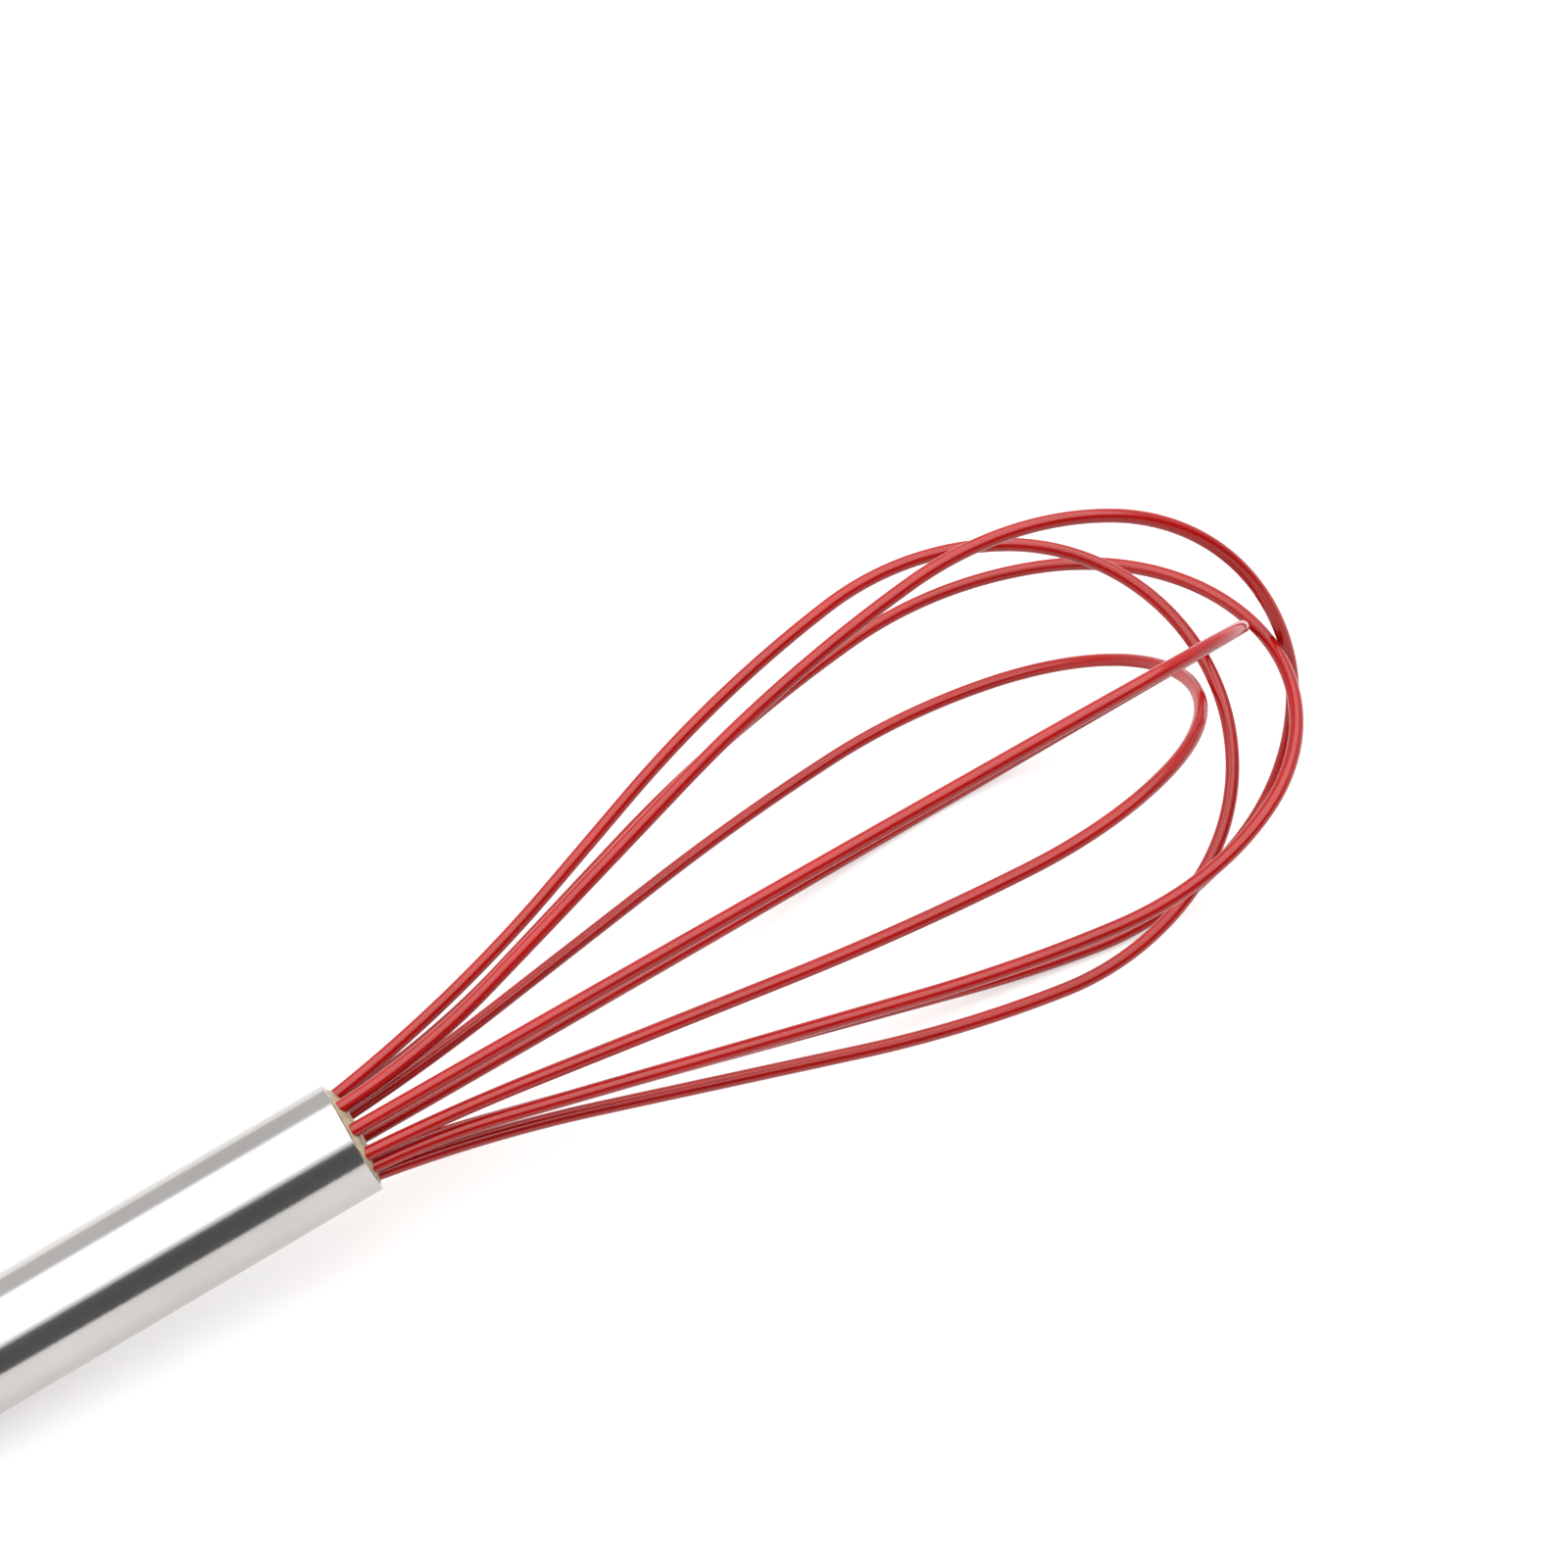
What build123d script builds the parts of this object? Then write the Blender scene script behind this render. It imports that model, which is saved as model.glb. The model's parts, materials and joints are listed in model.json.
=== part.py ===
"""A balloon whisk: five silicone-jacketed wire loops potted in the mouth of a steel tube handle.

The whisk is modelled as it lies on a table. +Z is up and z = 0 is the table top. +X runs along
the table from the handle to the loops. The origin is under the middle of the whole outline.
The tool rests on its two lowest wires and on the rear edge of the handle, so its axis rises
a little towards the loops. All sizes are in millimetres and all angles in degrees.
"""

import os
from math import atan2, cos, degrees, radians, sin, sqrt

from build123d import *

os.makedirs("parts", exist_ok=True)

# ---- how the whisk lies on the table ----
PITCH = 5.9  # rise of the axis towards the loops
MOUTH = Vector(-18.57, 0.78, 21.6)  # centre of the handle's open end

# ---- handle ----
TUBE_OD = 19.0  # 3/4 inch tube
TUBE_WALL = 0.8
TUBE_LENGTH = 118.0
MOUTH_ROUNDING = 0.3

# ---- closed rear end of the handle ----
CAP_THICKNESS = 0.9
CAP_RISE = 4.0  # height of the dome behind the tube
CAP_RADIUS = ((TUBE_OD / 2) ** 2 + CAP_RISE**2) / (2 * CAP_RISE)
CAP_SKIRT = 5.0  # depth that the cap reaches into the tube

# ---- fixed hanging loop ----
HANGER_WIRE = 2.5
HANGER_SPREAD = 9.5  # between the centres of its two legs
HANGER_LEG = 11.0  # straight leg behind the tube's end
HANGER_INSIDE = 7.0  # leg inside the handle

# ---- what fills the mouth, measured inwards from the mouth ----
SEAL_RISE = 1.2  # how far the seal stands proud of the mouth
SEAL_SHOULDER = 1.5  # radius of its rounded edge
SEAL_END = 6.0
DISC_END = 11.0
RESIN_END = 24.0
DAM_END = 27.0

# ---- loop wires ----
SLEEVE_OD = 2.3
WIRE_OD = 1.4
SLEEVE_TAIL = 9.5  # silicone jacket inside the handle
WIRE_TAIL = 21.0  # bare steel end inside the handle
EXIT_RADIUS = 7.1  # ring on which the ten ends leave the mouth
BEND_RADIUS = 40.0  # bend from the straight tail to the exit heading, inside the seal
FLARE_RADIUS = 110.0  # outward curve in front of the mouth, the same for most loops
BELLY_RADIUS = 220.0  # long inward curve of the side
SHOULDER_RATIO = 1.38  # radius of the shoulder arc over the radius of the tip arc

# Headings of the wire against the handle's axis: where it leaves the mouth, in most loops, where
# the belly turns into the shoulder, and where the shoulder turns into the tip.
EXIT_HEADING = 5.0
SHOULDER_HEADING = 8.5
TIP_HEADING = -28.0


class Loop:
    """One wire loop, as it sits in the ring of loops.

    turn: angle of its first side about the handle, from straight up towards +Y
    reach: distance of its tip in front of the mouth
    first_half, second_half: how far each side bulges from the axis
    lean: sideways tilt within its own plane
    slant: tilt of its plane out of the handle's axis
    heading, flare: heading at the mouth, and radius of the outward curve in front of it
    """

    def __init__(self, turn, reach, halves, lean=0.0, slant=0.0, heading=None, flare=None):
        self.turn = turn
        self.reach = reach
        self.halves = halves
        self.lean = lean
        self.slant = slant
        self.heading = heading or EXIT_HEADING
        self.flare = flare or FLARE_RADIUS


LOOPS = [
    Loop(turn=-59.8, reach=157.1, halves=(37.9, 38.0), lean=-3.6, slant=-2.2, heading=9.1, flare=173.0),
    Loop(turn=-120.7, reach=158.8, halves=(36.9, 38.0), lean=0.7, slant=0.3, heading=9.2, flare=245.0),
    Loop(turn=-34.3, reach=165.5, halves=(39.0, 39.0), slant=-0.5),
    Loop(turn=-85.8, reach=169.1, halves=(38.6, 42.2), lean=1.2),
    Loop(turn=-155.7, reach=171.3, halves=(36.8, 41.9), lean=1.1, slant=2.5),
]

# ---- directions of the lying whisk ----
AXIS = Vector(cos(radians(PITCH)), 0, sin(radians(PITCH)))
UP = Vector(-sin(radians(PITCH)), 0, cos(radians(PITCH)))
LEFT = Vector(0, 1, 0)
BORE_RADIUS = TUBE_OD / 2 - TUBE_WALL


def across(distance):
    """The plane square to the handle, its normal towards the loops, in front of the mouth."""
    return Plane(origin=MOUTH + AXIS * distance, x_dir=LEFT, z_dir=AXIS)


LENGTHWISE = Plane(origin=MOUTH, x_dir=AXIS, z_dir=-LEFT)  # local X forward, local Y up
FLAT = Plane(origin=MOUTH, x_dir=AXIS, z_dir=UP)  # local X forward, local Y to the left


def loop_plane(loop):
    """The plane a loop is bent in: local X towards its tip, local Y towards its first side."""
    turn, lean, slant = (radians(a) for a in (loop.turn, loop.lean, loop.slant))
    outward = UP * cos(turn) + LEFT * sin(turn)
    sideways = LEFT * cos(turn) - UP * sin(turn)
    ahead = AXIS * cos(slant) + sideways * sin(slant)
    x_dir = ahead * cos(lean) + outward * sin(lean)
    return Plane(origin=MOUTH, x_dir=x_dir, z_dir=ahead.cross(outward))


def radial(heading):
    """Unit vector at a left-hand right angle to a heading in a loop's plane."""
    return Vector(-sin(radians(heading)), cos(radians(heading)))


def bend_side(loop, half_width):
    """The arcs and the straight of one side, from the mouth to the tip, left turns positive.

    The tip and shoulder arcs together give the half width. The flare arc and the belly arc are
    joined by the straight line that touches both of their circles.
    """
    tip_slope = cos(radians(TIP_HEADING))
    tip = half_width / (tip_slope + SHOULDER_RATIO * (1 - tip_slope))
    shoulder = SHOULDER_RATIO * tip
    flare_centre = Vector(0, EXIT_RADIUS) + radial(loop.heading) * loop.flare
    tip_centre = Vector(loop.reach - tip, 0)
    shoulder_centre = tip_centre + radial(TIP_HEADING) * (tip - shoulder)
    belly_centre = shoulder_centre + radial(SHOULDER_HEADING) * (shoulder - BELLY_RADIUS)
    span = belly_centre - flare_centre
    both = loop.flare + BELLY_RADIUS
    straight = sqrt(span.length**2 - both**2)
    heading = degrees(atan2(span.Y, span.X) + atan2(both, straight))
    before = [(BEND_RADIUS, loop.heading), (loop.flare, heading - loop.heading)]
    after = [
        (BELLY_RADIUS, SHOULDER_HEADING - heading),
        (shoulder, TIP_HEADING - SHOULDER_HEADING),
        (tip, -90 - TIP_HEADING),
    ]
    return before, straight, after


def follow(step, arcs):
    """Add tangent arcs to the path, one after another, and return the last one."""
    for arc_radius, arc_turn in arcs:
        step = JernArc(step @ 1, step % 1, arc_radius, arc_turn)
    return step


def loop_wire(loop, tail, radius, bore=0.0):
    """Sweep a round section along a whole loop, with a straight tail at each end."""
    bend_length = BEND_RADIUS * sin(radians(loop.heading))
    tail_radius = EXIT_RADIUS - BEND_RADIUS * (1 - cos(radians(loop.heading)))
    out_before, out_straight, out_after = bend_side(loop, loop.halves[0])
    back_before, back_straight, back_after = bend_side(loop, loop.halves[1])
    with BuildPart() as wire:
        with BuildLine(loop_plane(loop)):
            start = Line((-tail, tail_radius), (-bend_length, tail_radius))
            step = follow(start, out_before)
            step = Line(step @ 1, step @ 1 + step % 1 * out_straight)
            step = follow(step, out_after + back_after[::-1])
            step = Line(step @ 1, step @ 1 + step % 1 * back_straight)
            step = follow(step, back_before[::-1])
            Line(step @ 1, step @ 1 + step % 1 * (tail - bend_length))
        with BuildSketch(Plane(origin=start @ 0, z_dir=start % 0)):
            Circle(radius)
            if bore:
                Circle(bore, mode=Mode.SUBTRACT)
        sweep()
    return wire


def save(piece, name):
    """Label a finished piece and write it as one STEP file."""
    piece.part.label = name
    export_step(piece.part, f"parts/{name}.step")


# ---- five wires and their silicone sleeves ----
cores = [loop_wire(loop, WIRE_TAIL, WIRE_OD / 2) for loop in LOOPS]
sleeves = [loop_wire(loop, SLEEVE_TAIL, SLEEVE_OD / 2, WIRE_OD / 2) for loop in LOOPS]
jackets = [loop_wire(loop, SLEEVE_TAIL, SLEEVE_OD / 2) for loop in LOOPS]

for number, core in enumerate(cores, 1):
    save(core, f"wire_core_{number}")
for number, sleeve in enumerate(sleeves, 1):
    save(sleeve, f"silicone_sleeve_{number}")

# ---- handle tube ----
with BuildPart() as handle_tube:
    with BuildSketch(across(-TUBE_LENGTH)):
        Circle(TUBE_OD / 2)
        Circle(BORE_RADIUS, mode=Mode.SUBTRACT)
    extrude(amount=TUBE_LENGTH)
    mouth_face = handle_tube.faces().sort_by(Axis(MOUTH, AXIS))[-1]
    fillet(mouth_face.edges(), MOUTH_ROUNDING)
save(handle_tube, "handle_tube")

# ---- mouth seal: cream resin between the sleeves, standing a little out of the mouth ----
with BuildPart() as mouth_seal:
    with BuildSketch(LENGTHWISE):
        with BuildLine(Plane.XY):
            back = Line((-SEAL_END, 0), (-SEAL_END, BORE_RADIUS))
            side = Line(back @ 1, (SEAL_RISE - SEAL_SHOULDER, BORE_RADIUS))
            shoulder = JernArc(side @ 1, side % 1, SEAL_SHOULDER, -90)
            front = Line(shoulder @ 1, (SEAL_RISE, 0))
            Line(front @ 1, back @ 0)
        make_face()
    revolve(axis=Axis(MOUTH, AXIS))
    add([jacket.part for jacket in jackets], mode=Mode.SUBTRACT)
save(mouth_seal, "mouth_seal")

# ---- wire guide disc: drilled plastic plug that spaces the sleeves ----
with BuildPart() as wire_guide_disc:
    with BuildSketch(across(-DISC_END)):
        Circle(BORE_RADIUS)
    extrude(amount=DISC_END - SEAL_END)
    add([jacket.part for jacket in jackets], mode=Mode.SUBTRACT)
    add([core.part for core in cores], mode=Mode.SUBTRACT)
save(wire_guide_disc, "wire_guide_disc")

# ---- anchor resin: potting that grips the bare wire ends ----
with BuildPart() as anchor_resin:
    with BuildSketch(across(-RESIN_END)):
        Circle(BORE_RADIUS)
    extrude(amount=RESIN_END - DISC_END)
    add([core.part for core in cores], mode=Mode.SUBTRACT)
save(anchor_resin, "anchor_resin")

# ---- resin dam: disc that keeps the potting out of the hollow handle ----
with BuildPart() as resin_dam:
    with BuildSketch(across(-DAM_END)):
        Circle(BORE_RADIUS)
    extrude(amount=DAM_END - RESIN_END)
save(resin_dam, "resin_dam")

# ---- hanging loop: a bent wire whose legs go through the end cap ----
with BuildPart() as hanging_loop:
    with BuildLine(FLAT):
        leg_side = HANGER_SPREAD / 2
        leg = Line(
            (HANGER_INSIDE - TUBE_LENGTH, leg_side), (-TUBE_LENGTH - HANGER_LEG, leg_side)
        )
        bend = JernArc(leg @ 1, leg % 1, leg_side, 180)
        Line(bend @ 1, (HANGER_INSIDE - TUBE_LENGTH, -leg_side))
    with BuildSketch(Plane(origin=leg @ 0, z_dir=leg % 0)):
        Circle(HANGER_WIRE / 2)
    sweep()
save(hanging_loop, "hanging_loop")

# ---- end cap: domed shell whose skirt fits inside the tube, with two holes for the hanger ----
with BuildPart() as end_cap:
    with BuildSketch(LENGTHWISE):
        with BuildLine(Plane.XY):
            crown = -TUBE_LENGTH - CAP_RISE
            edge = Line((-TUBE_LENGTH, BORE_RADIUS), (-TUBE_LENGTH, TUBE_OD / 2))
            outside = RadiusArc((crown, 0), edge @ 1, CAP_RADIUS)
            Line(outside @ 0, (crown + CAP_THICKNESS, 0))
            inside = RadiusArc(
                (crown + CAP_THICKNESS, 0),
                (-TUBE_LENGTH, BORE_RADIUS - CAP_THICKNESS),
                CAP_RADIUS - CAP_THICKNESS,
            )
            skirt = Line(inside @ 1, (CAP_SKIRT - TUBE_LENGTH, BORE_RADIUS - CAP_THICKNESS))
            lip = Line(skirt @ 1, (CAP_SKIRT - TUBE_LENGTH, BORE_RADIUS))
            Line(lip @ 1, edge @ 0)
        make_face()
    revolve(axis=Axis(MOUTH, AXIS))
    add(hanging_loop.part, mode=Mode.SUBTRACT)
save(end_cap, "end_cap")
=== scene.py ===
"""The looks of the balloon whisk: smooth sleeves and wires, the tube, the seal, and the studio.

The whisk lies on the floor at z = 0. Sizes are in millimetres until a mesh is written, which is
in metres. The handle's axis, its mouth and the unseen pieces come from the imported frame.
"""

import json
from math import atan2, ceil, cos, degrees, exp, pi, radians, sin, sqrt

import bmesh
import bpy
from mathutils import Matrix, Vector


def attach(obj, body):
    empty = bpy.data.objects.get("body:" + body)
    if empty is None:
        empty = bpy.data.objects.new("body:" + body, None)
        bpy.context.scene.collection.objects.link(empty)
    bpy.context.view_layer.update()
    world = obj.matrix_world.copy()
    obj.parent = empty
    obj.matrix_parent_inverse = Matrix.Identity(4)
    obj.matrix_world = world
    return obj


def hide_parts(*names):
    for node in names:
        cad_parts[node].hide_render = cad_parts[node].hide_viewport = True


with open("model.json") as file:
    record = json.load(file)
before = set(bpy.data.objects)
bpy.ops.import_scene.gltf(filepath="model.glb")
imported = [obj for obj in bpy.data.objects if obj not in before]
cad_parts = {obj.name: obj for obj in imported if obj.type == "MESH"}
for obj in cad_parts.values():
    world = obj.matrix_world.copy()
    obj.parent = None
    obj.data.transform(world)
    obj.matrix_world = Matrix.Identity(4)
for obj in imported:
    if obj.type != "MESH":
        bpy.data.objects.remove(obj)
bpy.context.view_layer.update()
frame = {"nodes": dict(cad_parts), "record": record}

MM = 0.001

# ---- sizes of the whisk, in millimetres and degrees, as they are in the CAD ----
TUBE_OD = 19.0
TUBE_WALL = 0.8
TUBE_LENGTH = 118.0
BORE_RADIUS = TUBE_OD / 2 - TUBE_WALL
RIM_ROUNDING = 0.3
REAR_EDGE_BREAK = 0.12
SEAL_END = 6.0
SLEEVE_OD = 2.3
WIRE_OD = 1.4
SLEEVE_TAIL = 9.5
WIRE_TAIL = 21.0
HANGER_WIRE = 2.5
HANGER_SPREAD = 9.5
HANGER_LEG = 11.0
HANGER_INSIDE = 7.0

# ---- the curve of the wires ----
EXIT_RADIUS = 7.1
BEND_RADIUS = 40.0
FLARE_RADIUS = 110.0
BELLY_RADIUS = 220.0
SHOULDER_RATIO = 1.38
EXIT_HEADING = 5.0
SHOULDER_HEADING = 8.5
TIP_HEADING = -28.0

# One loop a line: turn about the handle, reach, the two half widths, lean in its plane, slant
# of its plane, heading and radius of the outward curve at the mouth, and the twist that its two
# ends have in the ring at the mouth.
KEYS = ("turn", "reach", "halves", "lean", "slant", "heading", "flare", "twist")
LOOPS = [
    dict(zip(KEYS, row))
    for row in (
        (-59.8, 157.1, (37.9, 38.0), -3.6, -2.2, 9.1, 173.0, -3.1),
        (-120.7, 158.8, (36.9, 38.0), 0.7, 0.3, 9.2, 245.0, 11.5),
        (-34.3, 165.5, (39.0, 39.0), 0.0, -0.5, EXIT_HEADING, FLARE_RADIUS, 6.0),
        (-85.8, 169.1, (38.6, 42.2), 1.2, 0.0, EXIT_HEADING, FLARE_RADIUS, 0.0),
        (-155.7, 171.3, (36.8, 41.9), 1.1, 2.5, EXIT_HEADING, FLARE_RADIUS, -16.0),
    )
]

# ---- the resin in the mouth ----
SEAL_RISE = 1.25  # height of its front over its edge
SEAL_EDGE_DROP = 0.12  # depth of its edge inside the mouth
SEAL_FLATNESS = 6  # power of the curve from its middle to its edge
SEAL_RIPPLE = 0.07
SEAL_LIMIT = 1.5
SEAL_EXIT = 0.4  # distance in front of the mouth at which the sleeves' places are taken
CLIMB = 0.12  # how far it creeps up a sleeve
CLIMB_WIDTH = 0.3

# ---- fineness of the meshes ----
PATH_STEP = 1.2
SLEEVE_SIDES = 28
CORE_SIDES = 16
HANGER_SIDES = 32
TUBE_SIDES = 240
SEAL_RINGS = 64
WELD = 1e-7  # in metres
SHARP = 35  # faces that meet at a larger angle keep a sharp edge

# ---- the handle's frame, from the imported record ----
grip = next(m for m in frame["record"]["mounts"] if m["name"] == "handle_grip")
AXIS = -Vector(grip["axis"]).normalized()
LEFT = Vector((0, 1, 0))
UP = AXIS.cross(LEFT)
MOUTH = Vector(grip["pos_m"]) / MM + AXIS * TUBE_LENGTH / 2
HANDLE_FRAME = Matrix((AXIS, LEFT, UP)).transposed().to_4x4()
HANDLE_FRAME.translation = MOUTH * MM


# ---------------------------------------------------------------- mesh tools


def add_piece(name, vertices, faces, matrix=None):
    """Make a smooth mesh object from points in millimetres, given in the matrix's own frame."""
    mesh = bpy.data.meshes.new(name)
    mesh.from_pydata([Vector(v) * MM for v in vertices], [], faces)
    work = bmesh.new()
    work.from_mesh(mesh)
    bmesh.ops.remove_doubles(work, verts=work.verts, dist=WELD)
    bmesh.ops.recalc_face_normals(work, faces=work.faces)
    for edge in work.edges:
        if len(edge.link_faces) == 2:
            edge.smooth = edge.calc_face_angle() < radians(SHARP)
    work.to_mesh(mesh)
    work.free()
    mesh.polygons.foreach_set("use_smooth", [True] * len(mesh.polygons))
    piece = bpy.data.objects.new(name, mesh)
    bpy.context.scene.collection.objects.link(piece)
    if matrix is not None:
        piece.matrix_world = matrix
    return piece


def skin(rings):
    """Quads that join each closed ring of points to the next one."""
    sides = len(rings[0])
    vertices = [point for ring in rings for point in ring]
    faces = []
    for row in range(len(rings) - 1):
        for side in range(sides):
            here = row * sides + side
            beside = row * sides + (side + 1) % sides
            faces.append((here, beside, beside + sides, here + sides))
    return vertices, faces


def lathe(name, profile, sides=TUBE_SIDES):
    """Turn a closed outline of (distance along the handle, radius) points about its axis."""
    rings = []
    for along, radius in profile + profile[:1]:
        ring = []
        for side in range(sides):
            angle = 2 * pi * side / sides
            ring.append((along, radius * cos(angle), radius * sin(angle)))
        rings.append(ring)
    vertices, faces = skin(rings)
    return add_piece(name, vertices, faces, HANDLE_FRAME)


def arc(centre, radius, start, end, steps):
    """Points of a circular arc in a profile, angles in degrees from the handle's direction."""
    points = []
    for step in range(steps + 1):
        angle = radians(start + (end - start) * step / steps)
        points.append((centre[0] + radius * cos(angle), centre[1] + radius * sin(angle)))
    return points


def carried_frames(points, first_side):
    """A pair of cross directions at each point of a path, carried along it without twist."""
    frames = []
    side = first_side.normalized()
    last = len(points) - 1
    for index in range(last + 1):
        tangent = (points[min(index + 1, last)] - points[max(index - 1, 0)]).normalized()
        side = (side - tangent * side.dot(tangent)).normalized()
        frames.append((side, tangent.cross(side)))
    return frames


def tube(name, points, radius, bore, sides, first_side):
    """Sweep a round wire, or a hollow sleeve when bore isn't zero, along a path."""
    frames = carried_frames(points, first_side)

    def ring(index, size):
        side, other = frames[index]
        turned = []
        for step in range(sides):
            angle = 2 * pi * step / sides
            turned.append(points[index] + (side * cos(angle) + other * sin(angle)) * size)
        return turned

    last = len(points) - 1
    rings = [ring(index, radius) for index in range(last + 1)]
    if bore:
        rings = rings + [ring(index, bore) for index in range(last, -1, -1)] + rings[:1]
    else:
        rings = [ring(0, 0.0)] + rings + [ring(last, 0.0)]
    vertices, faces = skin(rings)
    return add_piece(name, vertices, faces)


# ---------------------------------------------------------------- the path of a loop


def radial(heading):
    """Unit vector at a left-hand right angle to a heading in a loop's plane."""
    return Vector((-sin(radians(heading)), cos(radians(heading))))


def side_bends(loop, half_width):
    """(length, turn) of each arc and of the straight of one side, from the mouth to the tip."""
    slope = cos(radians(TIP_HEADING))
    tip = half_width / (slope + SHOULDER_RATIO * (1 - slope))
    shoulder = SHOULDER_RATIO * tip
    flare = loop["flare"]
    flare_centre = Vector((0, EXIT_RADIUS)) + radial(loop["heading"]) * flare
    shoulder_centre = Vector((loop["reach"] - tip, 0)) + radial(TIP_HEADING) * (tip - shoulder)
    belly_centre = shoulder_centre + radial(SHOULDER_HEADING) * (shoulder - BELLY_RADIUS)
    span = belly_centre - flare_centre
    both = flare + BELLY_RADIUS
    straight = sqrt(span.length_squared - both**2)
    heading = degrees(atan2(span.y, span.x) + atan2(both, straight))
    turns = [
        (flare, heading - loop["heading"]),
        (BELLY_RADIUS, SHOULDER_HEADING - heading),
        (shoulder, TIP_HEADING - SHOULDER_HEADING),
        (tip, -90 - TIP_HEADING),
    ]
    bends = [(radius * radians(abs(turn)), turn) for radius, turn in turns]
    bends.insert(1, (straight, 0.0))
    return bends


def side_points(loop, half_width, tail):
    """Points of one side, from its end inside the handle to the tip, as (ahead, outward)."""
    exit_turn = radians(loop["heading"])
    tail_radius = EXIT_RADIUS - BEND_RADIUS * (1 - cos(exit_turn))
    bend = (BEND_RADIUS * exit_turn, loop["heading"])
    lead = (tail - BEND_RADIUS * sin(exit_turn), 0.0)
    point = Vector((-tail, tail_radius))
    heading = 0.0
    points = [point.copy()]
    for length, turn in [lead, bend] + side_bends(loop, half_width):
        steps = ceil(length / PATH_STEP)
        half_step = radians(turn) / steps / 2
        chord = length / steps * (sin(half_step) / half_step if turn else 1.0)
        for _ in range(steps):
            heading += turn / steps / 2
            point += Vector((cos(radians(heading)), sin(radians(heading)))) * chord
            heading += turn / steps / 2
            points.append(point.copy())
    return points


def ring_share(ahead, reach):
    """How much of the twist at the mouth is left at a distance in front of the mouth."""
    if ahead >= 0:
        return (1 - (ahead / reach) ** 2) ** 2
    inside = max(0.0, 1 + ahead / SEAL_END)
    return inside * inside * (3 - 2 * inside)


def loop_path(loop, tail):
    """The centre line of a whole loop, in millimetres, and the direction square to its plane."""
    turn, lean, slant = (radians(loop[key]) for key in ("turn", "lean", "slant"))
    outward = UP * cos(turn) + LEFT * sin(turn)
    sideways = LEFT * cos(turn) - UP * sin(turn)
    ahead = AXIS * cos(slant) + sideways * sin(slant)
    twist = radians(loop["twist"])
    flat = []
    for sign, half_width in zip((1, -1), loop["halves"]):
        half = []
        for along, out in side_points(loop, half_width, tail):
            share = ring_share(along, loop["reach"]) * EXIT_RADIUS * sign
            half.append((along, sign * out - share * (1 - cos(twist)), share * sin(twist)))
        flat.append(half)
    points = []
    for along, out, off in flat[0] + flat[1][-2::-1]:
        across = out * cos(lean) + along * sin(lean)
        along = along * cos(lean) - out * sin(lean)
        points.append(MOUTH + ahead * along + outward * across + sideways * off)
    return points, sideways


# ---------------------------------------------------------------- materials


def new_material(name, **sockets):
    """A Principled material with its uniform values set straight on the shader."""
    material = bpy.data.materials.new(name)
    material.use_nodes = True
    shader = material.node_tree.nodes["Principled BSDF"]
    for socket, value in sockets.items():
        shader.inputs[socket.replace("_", " ")].default_value = value
    return material, shader


def noise(material, scale, detail=3.0, stretch=(1, 1, 1)):
    """Noise in the object's own coordinates, its scale in features a metre."""
    nodes, links = material.node_tree.nodes, material.node_tree.links
    where = nodes.new("ShaderNodeTexCoord")
    mapping = nodes.new("ShaderNodeMapping")
    mapping.inputs["Scale"].default_value = stretch
    texture = nodes.new("ShaderNodeTexNoise")
    texture.inputs["Scale"].default_value = scale
    texture.inputs["Detail"].default_value = detail
    links.new(where.outputs["Object"], mapping.inputs["Vector"])
    links.new(mapping.outputs["Vector"], texture.inputs["Vector"])
    return texture.outputs["Fac"]


def vary(material, source, low, high, socket):
    """Drive a roughness or a similar socket between two values by a noise."""
    nodes, links = material.node_tree.nodes, material.node_tree.links
    span = nodes.new("ShaderNodeMapRange")
    span.inputs["From Min"].default_value = 0.3
    span.inputs["From Max"].default_value = 0.7
    span.inputs["To Min"].default_value = low
    span.inputs["To Max"].default_value = high
    links.new(source, span.inputs["Value"])
    links.new(span.outputs["Result"], socket)


def blotch(material, source, dark, light, socket):
    """Colour that wanders between two shades by a noise."""
    nodes, links = material.node_tree.nodes, material.node_tree.links
    ramp = nodes.new("ShaderNodeValToRGB")
    ramp.color_ramp.elements[0].position = 0.32
    ramp.color_ramp.elements[0].color = (*dark, 1)
    ramp.color_ramp.elements[1].position = 0.68
    ramp.color_ramp.elements[1].color = (*light, 1)
    links.new(source, ramp.inputs["Fac"])
    links.new(ramp.outputs["Color"], socket)


def bump(material, shader, sources, depth):
    """Fine relief from one or more noises; depth is in millimetres."""
    nodes, links = material.node_tree.nodes, material.node_tree.links
    below = None
    for source, share in sources:
        relief = nodes.new("ShaderNodeBump")
        relief.inputs["Strength"].default_value = share
        relief.inputs["Distance"].default_value = depth * MM
        links.new(source, relief.inputs["Height"])
        if below is not None:
            links.new(below, relief.inputs["Normal"])
        below = relief.outputs["Normal"]
    links.new(below, shader.inputs["Normal"])


def satin_steel():
    """The tube: polished stainless steel with a fine, even grain."""
    material, shader = new_material("satin_steel", Metallic=1.0)
    grain = noise(material, 2600, 4.0)
    lines = noise(material, 900, 2.0, (0.04, 1, 1))
    patches = noise(material, 45, 3.0)
    dark, light = (0.46, 0.452, 0.445), (0.50, 0.492, 0.485)
    blotch(material, patches, dark, light, shader.inputs["Base Color"])
    vary(material, grain, 0.11, 0.18, shader.inputs["Roughness"])
    bump(material, shader, [(grain, 0.10), (lines, 0.06)], 0.01)
    return material


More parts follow.
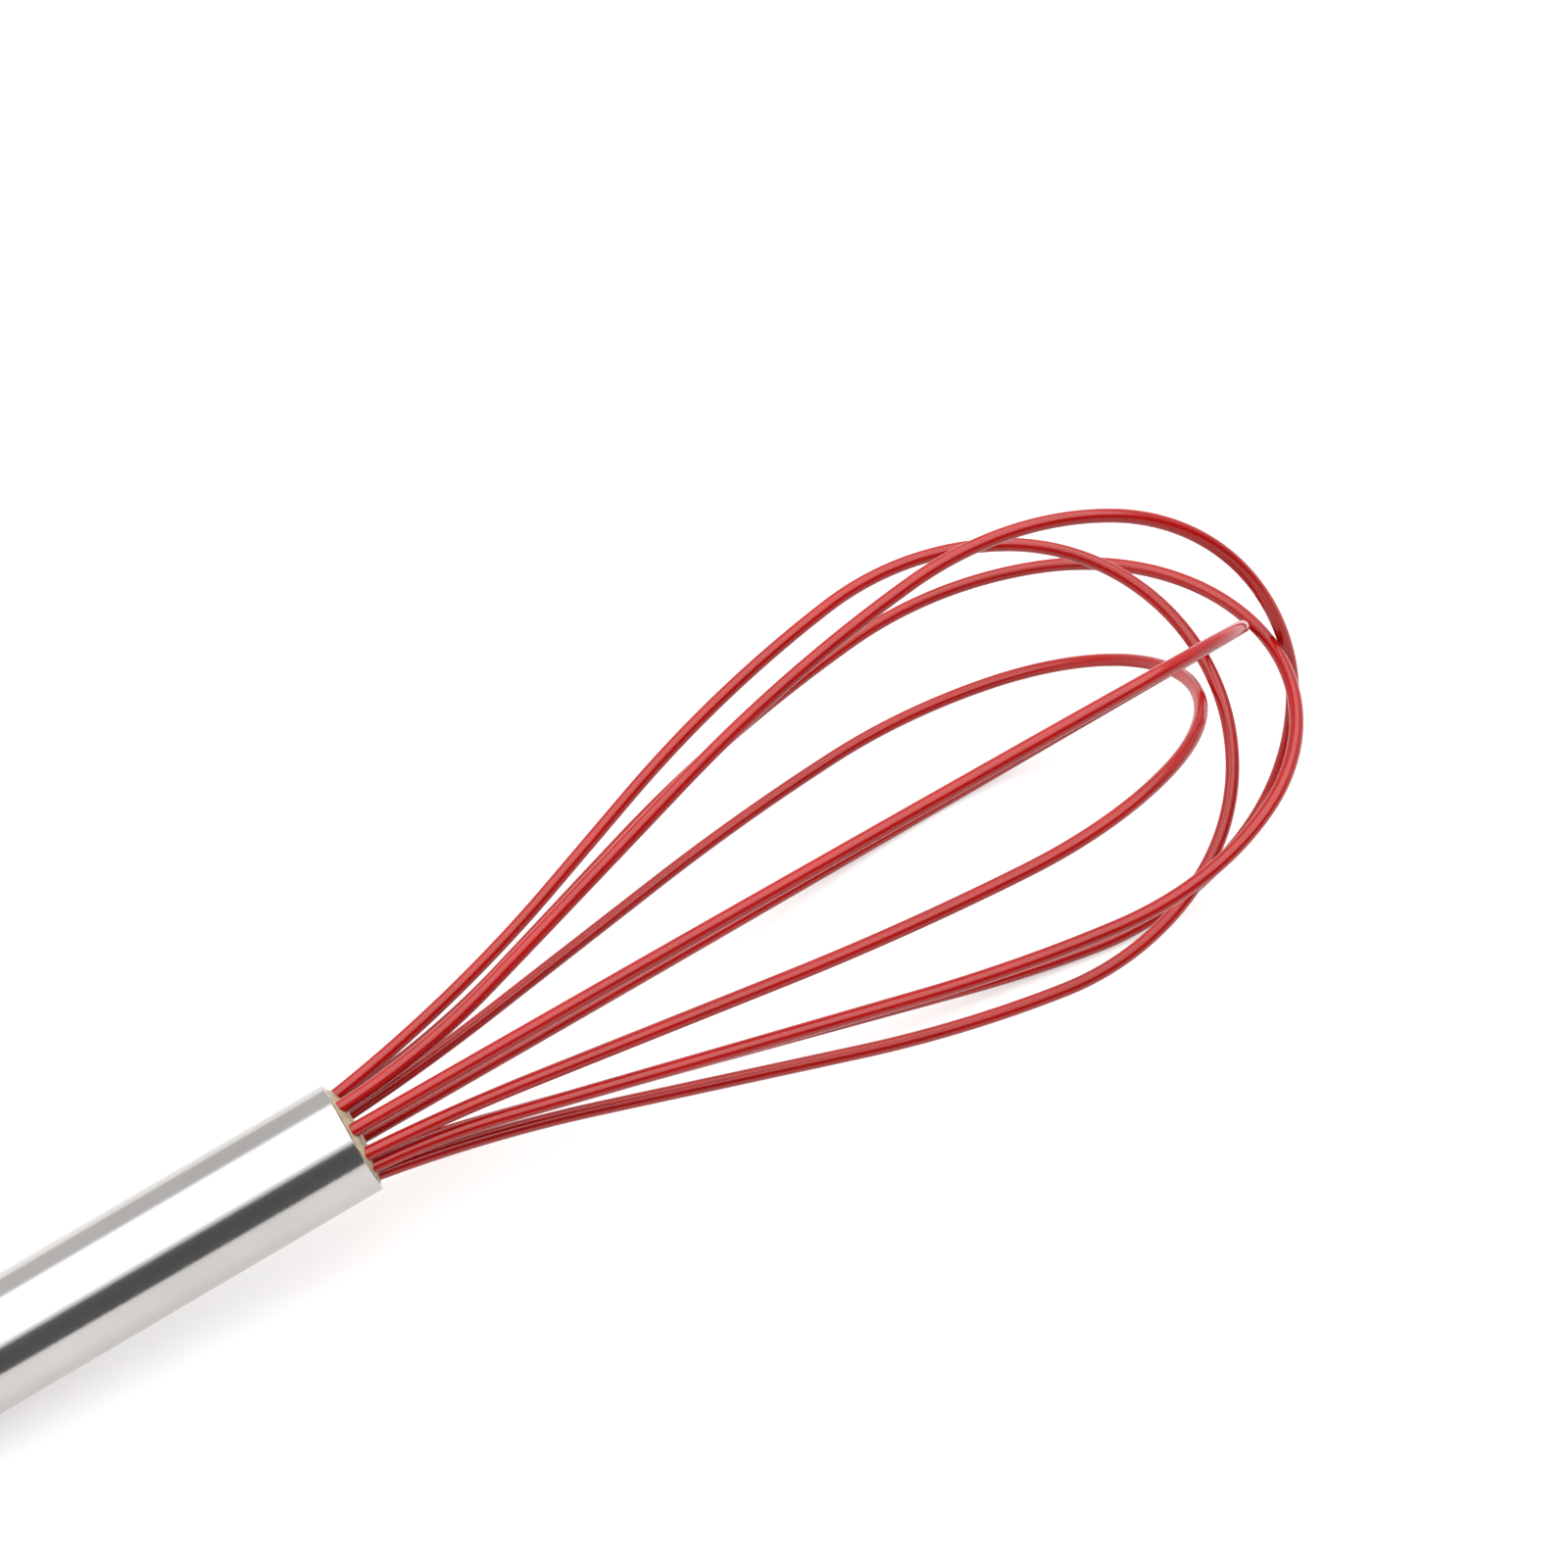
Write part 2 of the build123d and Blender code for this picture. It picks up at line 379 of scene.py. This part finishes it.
def cap_steel():
    """The end cap: pressed steel, polished, with a fine, even grain."""
    material, shader = new_material("cap_steel", Metallic=1.0)
    grain = noise(material, 1800, 3.0)
    patches = noise(material, 120, 3.0)
    dark, light = (0.56, 0.555, 0.55), (0.64, 0.635, 0.63)
    blotch(material, patches, dark, light, shader.inputs["Base Color"])
    vary(material, grain, 0.16, 0.26, shader.inputs["Roughness"])
    bump(material, shader, [(grain, 0.12)], 0.012)
    return material


def drawn_wire(name, shade, smooth, rough):
    """Drawn steel wire, with faint lengthwise die marks."""
    material, shader = new_material(name, Metallic=1.0)
    marks = noise(material, 2400, 2.0, (0.05, 1, 1))
    patches = noise(material, 200, 3.0)
    dark = tuple(shade * part for part in (0.92, 0.92, 0.93))
    light = tuple(shade * part for part in (1.04, 1.03, 1.02))
    blotch(material, patches, dark, light, shader.inputs["Base Color"])
    vary(material, marks, smooth, rough, shader.inputs["Roughness"])
    bump(material, shader, [(marks, 0.10)], 0.01)
    return material


def red_silicone():
    """The sleeves: deep red silicone, satin, with a very fine speckle."""
    material, shader = new_material(
        "red_silicone",
        Specular_IOR_Level=0.5,
        Specular_Tint=(1.0, 0.97, 0.93, 1),
        Subsurface_Weight=0.06,
        Subsurface_Scale=0.0004,
        Subsurface_Radius=(1.0, 0.1, 0.08),
    )
    clouds = noise(material, 60, 3.0)
    speckle = noise(material, 4200, 2.0)
    ripple = noise(material, 420, 2.0)
    dark, light = (0.265, 0.001, 0.001), (0.325, 0.002, 0.002)
    blotch(material, clouds, dark, light, shader.inputs["Base Color"])
    vary(material, speckle, 0.12, 0.20, shader.inputs["Roughness"])
    bump(material, shader, [(speckle, 0.05), (ripple, 0.05)], 0.02)
    return material


def cream_resin(name, dark, light):
    """Cured potting resin: cream, slightly uneven, with a dull shine."""
    material, shader = new_material(
        name,
        Subsurface_Weight=0.15,
        Subsurface_Scale=0.0008,
        Subsurface_Radius=(1.0, 0.7, 0.4),
    )
    clouds = noise(material, 500, 4.0)
    pores = noise(material, 2600, 3.0)
    blotch(material, clouds, dark, light, shader.inputs["Base Color"])
    vary(material, pores, 0.38, 0.60, shader.inputs["Roughness"])
    bump(material, shader, [(clouds, 0.35), (pores, 0.25)], 0.05)
    return material


def moulded_plastic():
    """The guide disc and the dam: natural moulded plastic."""
    material, shader = new_material("moulded_plastic")
    clouds = noise(material, 220, 3.0)
    grain = noise(material, 3000, 2.0)
    dark, light = (0.62, 0.60, 0.54), (0.72, 0.70, 0.64)
    blotch(material, clouds, dark, light, shader.inputs["Base Color"])
    vary(material, grain, 0.36, 0.50, shader.inputs["Roughness"])
    bump(material, shader, [(grain, 0.2)], 0.02)
    return material


def paper_floor():
    """The studio's seamless white paper."""
    material, shader = new_material("paper_floor", Base_Color=(0.42, 0.415, 0.41, 1))
    shader.inputs["Emission Color"].default_value = (1.0, 0.98, 0.97, 1)
    shader.inputs["Emission Strength"].default_value = 0.52
    fibre = noise(material, 900, 3.0)
    vary(material, fibre, 0.85, 0.95, shader.inputs["Roughness"])
    bump(material, shader, [(fibre, 0.05)], 0.02)
    return material


# ---------------------------------------------------------------- pieces


def finish_piece(piece, material, slot, *nodes):
    """Dress a piece, let it ride with the whisk and let it stand for its CAD nodes."""
    piece.data.materials.clear()
    piece.data.materials.append(material)
    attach(piece, "root")
    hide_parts(*nodes)


def make_loops():
    """Five sleeves and the five wires inside them."""
    silicone = red_silicone()
    spring = drawn_wire("spring_steel", 0.58, 0.22, 0.34)
    for number, loop in enumerate(LOOPS, 1):
        points, square = loop_path(loop, SLEEVE_TAIL)
        sleeve = tube(
            f"sleeve_{number}", points, SLEEVE_OD / 2, WIRE_OD / 2, SLEEVE_SIDES, square
        )
        finish_piece(sleeve, silicone, "red_silicone", f"silicone_sleeve_{number}")
        points, square = loop_path(loop, WIRE_TAIL)
        core = tube(f"core_{number}", points, WIRE_OD / 2, 0.0, CORE_SIDES, square)
        finish_piece(core, spring, "spring_steel", f"wire_core_{number}")


def make_handle():
    """The tube, with a rounded lip at the mouth and a small break on its rear edge."""
    outer = TUBE_OD / 2
    rear = -TUBE_LENGTH
    edge = REAR_EDGE_BREAK
    lip = RIM_ROUNDING
    profile = [(rear, BORE_RADIUS), (rear, outer - edge)]
    profile += [(rear + edge * 0.3, outer - edge * 0.3), (rear + edge, outer)]
    profile += arc((-lip, outer - lip), lip, 90, 0, 8)
    profile += [(0.0, BORE_RADIUS + 0.1), (-0.1, BORE_RADIUS)]
    finish_piece(lathe("tube", profile), satin_steel(), "handle_steel", "handle_tube")


def seal_exits():
    """Where the ten sleeves leave the resin, in the handle's frame."""
    to_handle = HANDLE_FRAME.inverted()
    exits = []
    for loop in LOOPS:
        points, _ = loop_path(loop, SLEEVE_TAIL)
        local = [to_handle @ (point * MM) / MM for point in points]
        middle = len(local) // 2
        for half in (local[:middle], local[:middle:-1]):
            exits.append(min(half, key=lambda point: abs(point.x - SEAL_EXIT)))
    return exits


def seal_height(y, z, edge, exits):
    """How far the resin's front stands in front of the mouth at one place."""
    radius = sqrt(y * y + z * z)
    height = SEAL_RISE * (1 - (radius / edge) ** SEAL_FLATNESS) - SEAL_EDGE_DROP
    height += SEAL_RIPPLE * sin(3.1 * y + 1.3) * cos(2.7 * z + 0.4)
    for exit_point in exits:
        gap = sqrt((y - exit_point.y) ** 2 + (z - exit_point.z) ** 2) - SLEEVE_OD / 2
        height += CLIMB * exp(-max(gap, 0.0) / CLIMB_WIDTH)
    return min(height, SEAL_LIMIT)


def make_seal():
    """Cream resin in the mouth: a low dome that climbs a little up each sleeve."""
    exits = seal_exits()
    edge = BORE_RADIUS + 0.02
    rings = []
    for row in range(SEAL_RINGS + 1):
        radius = edge * row / SEAL_RINGS
        ring = []
        for side in range(TUBE_SIDES):
            angle = 2 * pi * side / TUBE_SIDES
            y, z = radius * cos(angle), radius * sin(angle)
            ring.append((seal_height(y, z, edge, exits), y, z))
        rings.append(ring)
    rings.append([(-SEAL_END, y, z) for _, y, z in rings[-1]])
    rings.append([(-SEAL_END, 0, 0) for _ in rings[-1]])
    vertices, faces = skin(rings)
    seal = add_piece("seal", vertices, faces, HANDLE_FRAME)
    resin = cream_resin("seal_resin", (0.27, 0.225, 0.14), (0.46, 0.40, 0.27))
    finish_piece(seal, resin, "cream_resin", "mouth_seal")


def make_hanger():
    """The hanging loop, a bent wire that stands out of the end cap."""
    side = HANGER_SPREAD / 2
    turn = -TUBE_LENGTH - HANGER_LEG
    start = HANGER_INSIDE - TUBE_LENGTH
    legs = 12
    flat = [(start + (turn - start) * step / legs, side) for step in range(legs)]
    flat += [(x, y) for x, y in arc((turn, 0), side, 90, 270, 36)]
    flat += [(turn + (start - turn) * step / legs, -side) for step in range(1, legs + 1)]
    points = [MOUTH + AXIS * x + LEFT * y for x, y in flat]
    hanger = tube("hanger", points, HANGER_WIRE / 2, 0.0, HANGER_SIDES, UP)
    bright = drawn_wire("bright_wire", 0.50, 0.16, 0.26)
    finish_piece(hanger, bright, "hanger_steel", "hanging_loop")


def dress_carried_nodes():
    """Materials for the CAD nodes that are shown as they are."""
    potting = cream_resin("anchor_potting", (0.44, 0.36, 0.25), (0.58, 0.49, 0.36))
    plastic = moulded_plastic()
    dress = {
        "end_cap": cap_steel(),
        "wire_guide_disc": plastic,
        "anchor_resin": potting,
        "resin_dam": plastic,
    }
    for node, material in dress.items():
        slots = frame["nodes"][node].data.materials
        slots.clear()
        slots.append(material)


# ---------------------------------------------------------------- studio


def make_floor():
    """A wide white floor."""
    size = 4000
    corners = [(-size, -size, 0), (size, -size, 0), (size, size, 0), (-size, size, 0)]
    floor = add_piece("floor", corners, [(0, 1, 2, 3)])
    floor.data.materials.append(paper_floor())


def emitter(name, strength, edge_strength, soft_edge):
    """A light panel's surface, which fades towards one pair of its edges."""
    material = bpy.data.materials.new(name)
    material.use_nodes = True
    nodes, links = material.node_tree.nodes, material.node_tree.links
    nodes.clear()
    where = nodes.new("ShaderNodeTexCoord")
    split = nodes.new("ShaderNodeSeparateXYZ")
    away = nodes.new("ShaderNodeMath")
    away.operation = "ABSOLUTE"
    fade = nodes.new("ShaderNodeMapRange")
    fade.interpolation_type = "SMOOTHSTEP"
    fade.inputs["From Min"].default_value = soft_edge
    fade.inputs["From Max"].default_value = 1.0
    fade.inputs["To Min"].default_value = strength
    fade.inputs["To Max"].default_value = edge_strength
    glow = nodes.new("ShaderNodeEmission")
    out = nodes.new("ShaderNodeOutputMaterial")
    links.new(where.outputs["Object"], split.inputs["Vector"])
    links.new(split.outputs["Y"], away.inputs[0])
    links.new(away.outputs["Value"], fade.inputs["Value"])
    links.new(fade.outputs["Result"], glow.inputs["Strength"])
    links.new(glow.outputs["Emission"], out.inputs["Surface"])
    return material


def make_softbox():
    """The big overhead softbox, seen in the handle as its wide white band."""
    height, near, far, half_length = 700, -700, 800, 900
    corners = [(-1, -1, 0), (1, -1, 0), (1, 1, 0), (-1, 1, 0)]
    panel = add_piece("softbox", [Vector(c) / MM for c in corners], [(3, 2, 1, 0)])
    panel.scale = (half_length * MM, (far - near) / 2 * MM, 1)
    panel.location = (0, (near + far) / 2 * MM, height * MM)
    panel.data.materials.append(emitter("softbox_glow", 3.2, 0.9, 0.5))
    panel.visible_camera = False


def make_dark_card():
    """The unlit side of the studio, seen in the handle as its dark stripe."""
    distance, height, half_length = 1500, 1450, 4000
    corners = [
        (-half_length, -distance, 0),
        (half_length, -distance, 0),
        (half_length, -distance, height),
        (-half_length, -distance, height),
    ]
    card = add_piece("dark_card", corners, [(0, 1, 2, 3)])
    material, shader = new_material("dark_card", Base_Color=(0.02, 0.02, 0.02, 1))
    shader.inputs["Emission Color"].default_value = (1, 1, 1, 1)
    shader.inputs["Emission Strength"].default_value = 0.09
    card.data.materials.append(material)
    card.visible_camera = False
    card.visible_shadow = False


def make_world():
    """Even pale light from all round."""
    world = bpy.data.worlds.new("studio")
    world.use_nodes = True
    sky = world.node_tree.nodes["Background"]
    sky.inputs["Color"].default_value = (1.0, 0.985, 0.975, 1)
    sky.inputs["Strength"].default_value = 0.9
    bpy.context.scene.world = world


def make_camera():
    """A short telephoto view, turned so that the whisk runs up to the right."""
    place = Vector((-38.9, -249.4, 383.25))
    aim = Vector((74.86, 30.33, 15.0))
    roll = -8.92
    data = bpy.data.cameras.new("camera")
    data.sensor_width = 36
    data.lens = 63.04
    data.clip_start = 0.01
    camera = bpy.data.objects.new("camera", data)
    bpy.context.scene.collection.objects.link(camera)
    look = (aim - place).to_track_quat("-Z", "Y").to_matrix().to_4x4()
    tilt = Matrix.Rotation(radians(roll), 4, "Z")
    camera.matrix_world = Matrix.Translation(place * MM) @ look @ tilt
    bpy.context.scene.camera = camera


make_loops()
make_handle()
make_seal()
make_hanger()
dress_carried_nodes()
make_floor()
make_softbox()
make_dark_card()
make_world()
make_camera()
bpy.context.scene.view_settings.view_transform = "Standard"
bpy.context.scene.view_settings.look = "None"
